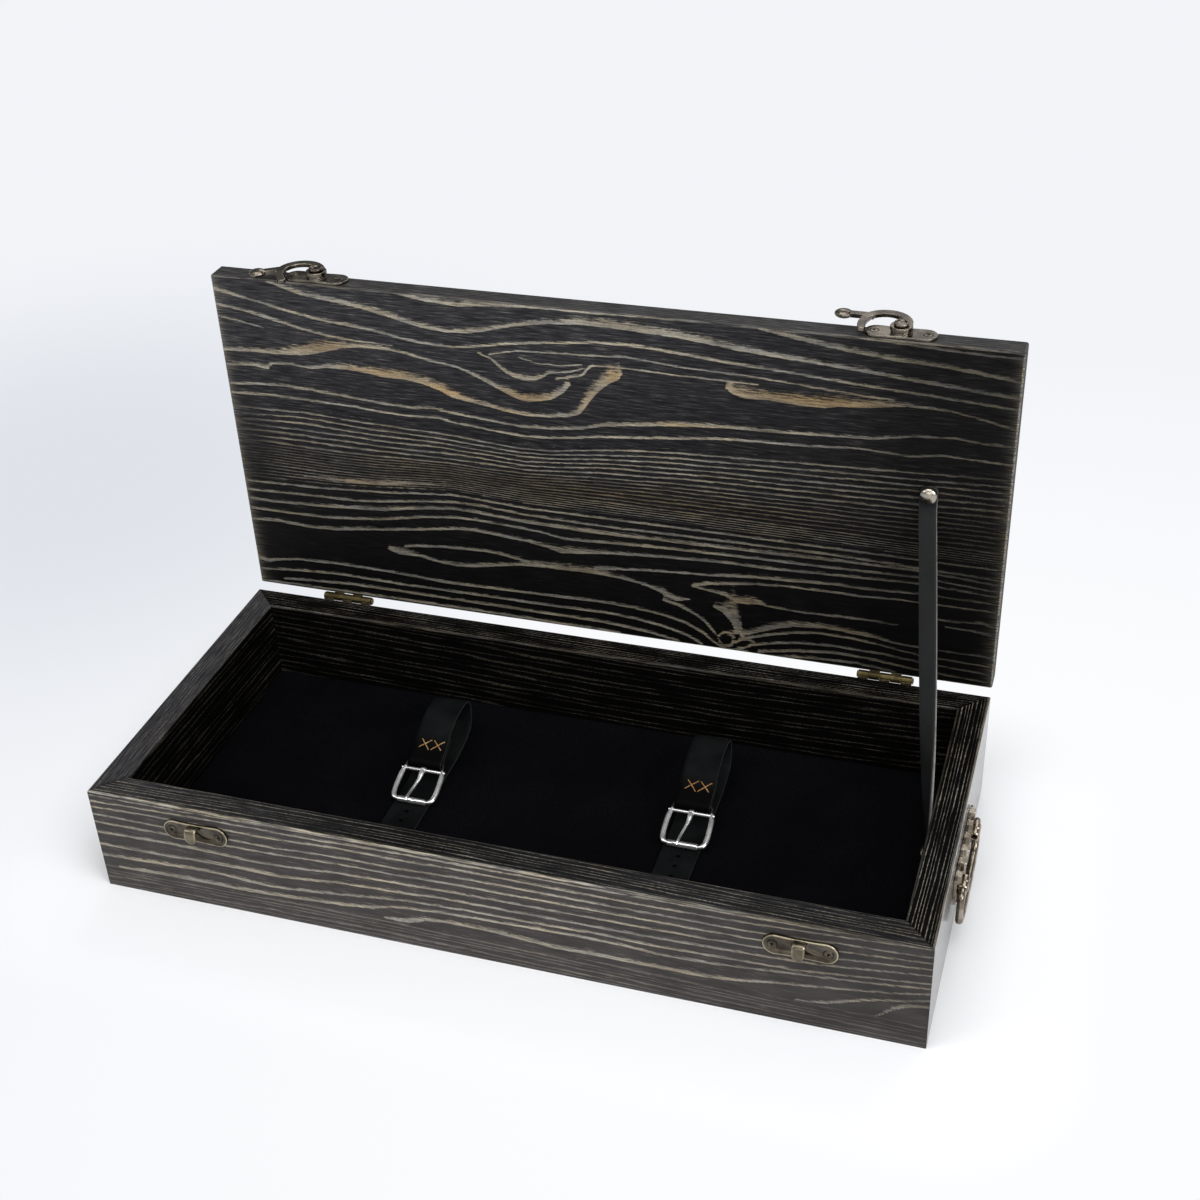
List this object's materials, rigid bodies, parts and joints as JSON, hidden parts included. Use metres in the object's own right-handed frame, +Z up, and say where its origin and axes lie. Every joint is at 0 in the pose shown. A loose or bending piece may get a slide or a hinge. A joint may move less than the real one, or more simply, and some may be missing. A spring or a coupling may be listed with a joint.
{
  "type": "knife display case",
  "caption": "Low hinged wooden display case for a knife, with felt lining, buckled leather hold-down straps, hook latches, a strap stay and end bail handles.",
  "frame": {"origin": "centre of the case's underside", "axes": "+X to the right end, +Y to the hinged back, +Z up"},
  "size_m": [0.516, 0.2657, 0.3122],
  "materials": {
    "stained_wood": "brushed softwood stained black, pale raised grain",
    "felt": "matte black felt",
    "leather": "satin black leather",
    "aged_bronze": "aged bronze, worn bright at the edges",
    "copper_bronze": "dark copper bronze",
    "aged_brass": "aged brass",
    "chrome": "polished chrome plate"
  },
  "bodies": {
    "case": {"back_board": "stained_wood", "bottom_panel": "stained_wood", "catch_plate_left": "aged_bronze", "catch_plate_right": "aged_bronze", "catch_screw_left_1": "aged_bronze", "catch_screw_left_2": "aged_bronze", "catch_screw_right_1": "aged_bronze", "catch_screw_right_2": "aged_bronze", "felt_lining": "felt", "front_board": "stained_wood", "handle_plate_left": "copper_bronze", "handle_plate_right": "copper_bronze", "handle_screw_left_1": "copper_bronze", "handle_screw_left_2": "copper_bronze", "handle_screw_right_1": "copper_bronze", "handle_screw_right_2": "copper_bronze", "hinge_case_leaf_left": "aged_brass", "hinge_case_leaf_right": "aged_brass", "hinge_case_screw_left_1": "aged_brass", "hinge_case_screw_left_2": "aged_brass", "hinge_case_screw_right_1": "aged_brass", "hinge_case_screw_right_2": "aged_brass", "hinge_pin_left": "aged_brass", "hinge_pin_right": "aged_brass", "hold_down_strap_left": "leather", "hold_down_strap_right": "leather", "left_end_board": "stained_wood", "right_end_board": "stained_wood", "stay_lower_stud": "aged_brass", "stay_strap": "leather"},
    "lid": {"hinge_lid_leaf_left": "aged_brass", "hinge_lid_leaf_right": "aged_brass", "hinge_lid_screw_left_1": "aged_brass", "hinge_lid_screw_left_2": "aged_brass", "hinge_lid_screw_right_1": "aged_brass", "hinge_lid_screw_right_2": "aged_brass", "latch_base_left": "aged_bronze", "latch_base_right": "aged_bronze", "latch_rivet_left": "aged_bronze", "latch_rivet_right": "aged_bronze", "latch_screw_left_1": "aged_bronze", "latch_screw_left_2": "aged_bronze", "latch_screw_right_1": "aged_bronze", "latch_screw_right_2": "aged_bronze", "lid_panel": "stained_wood", "stay_upper_stud": "aged_brass"},
    "latch_hook_left": {"latch_hook_left": "aged_bronze"},
    "latch_hook_right": {"latch_hook_right": "aged_bronze"},
    "handle_bail_left": {"handle_bail_left": "copper_bronze"},
    "handle_bail_right": {"handle_bail_right": "copper_bronze"},
    "buckle_frame_left": {"buckle_frame_left": "chrome"},
    "buckle_prong_left": {"buckle_prong_left": "chrome"},
    "buckle_roller_left": {"buckle_roller_left": "chrome"},
    "buckle_frame_right": {"buckle_frame_right": "chrome"},
    "buckle_prong_right": {"buckle_prong_right": "chrome"},
    "buckle_roller_right": {"buckle_roller_right": "chrome"}
  },
  "joints": [
    {"name": "lid_hinge", "type": "hinge", "parent": "case", "child": "lid", "pos_m": [0, 0.11715, 0.0735], "axis": [1, 0, 0], "range_deg": [0, 90], "deforming": ["stay_strap"]},
    {"name": "latch_turn_left", "type": "hinge", "parent": "lid", "child": "latch_hook_left", "pos_m": [-0.18, 0.12515, 0.3075], "axis": [0, 0, 1], "range_deg": [-52, 58]},
    {"name": "latch_turn_right", "type": "hinge", "parent": "lid", "child": "latch_hook_right", "pos_m": [0.18, 0.12515, 0.3075], "axis": [0, 0, 1], "range_deg": [-20, 90]},
    {"name": "bail_swing_left", "type": "hinge", "parent": "case", "child": "handle_bail_left", "pos_m": [-0.2549, 0, 0.04088], "axis": [0, 1, 0], "range_deg": [-4, 170]},
    {"name": "bail_swing_right", "type": "hinge", "parent": "case", "child": "handle_bail_right", "pos_m": [0.2549, 0, 0.04088], "axis": [0, -1, 0], "range_deg": [-4, 170]},
    {"name": "buckle_lift_left", "type": "hinge", "parent": "case", "child": "buckle_frame_left", "pos_m": [-0.087, 0.00847, 0.03374], "axis": [-1, 0, 0], "range_deg": [0, 70]},
    {"name": "prong_lift_left", "type": "hinge", "parent": "buckle_frame_left", "child": "buckle_prong_left", "pos_m": [-0.0865, 0.00317, 0.03191], "axis": [-1, 0, 0], "range_deg": [0, 100]},
    {"name": "roller_spin_left", "type": "hinge", "parent": "buckle_frame_left", "child": "buckle_roller_left", "pos_m": [-0.0865, -0.01818, 0.0245], "axis": [1, 0, 0], "continuous": true},
    {"name": "buckle_lift_right", "type": "hinge", "parent": "case", "child": "buckle_frame_right", "pos_m": [0.087, 0.01196, 0.03374], "axis": [-1, 0, 0], "range_deg": [0, 70]},
    {"name": "prong_lift_right", "type": "hinge", "parent": "buckle_frame_right", "child": "buckle_prong_right", "pos_m": [0.0875, 0.00668, 0.03191], "axis": [-1, 0, 0], "range_deg": [0, 100]},
    {"name": "roller_spin_right", "type": "hinge", "parent": "buckle_frame_right", "child": "buckle_roller_right", "pos_m": [0.0875, -0.01468, 0.0245], "axis": [1, 0, 0], "continuous": true}
  ]
}
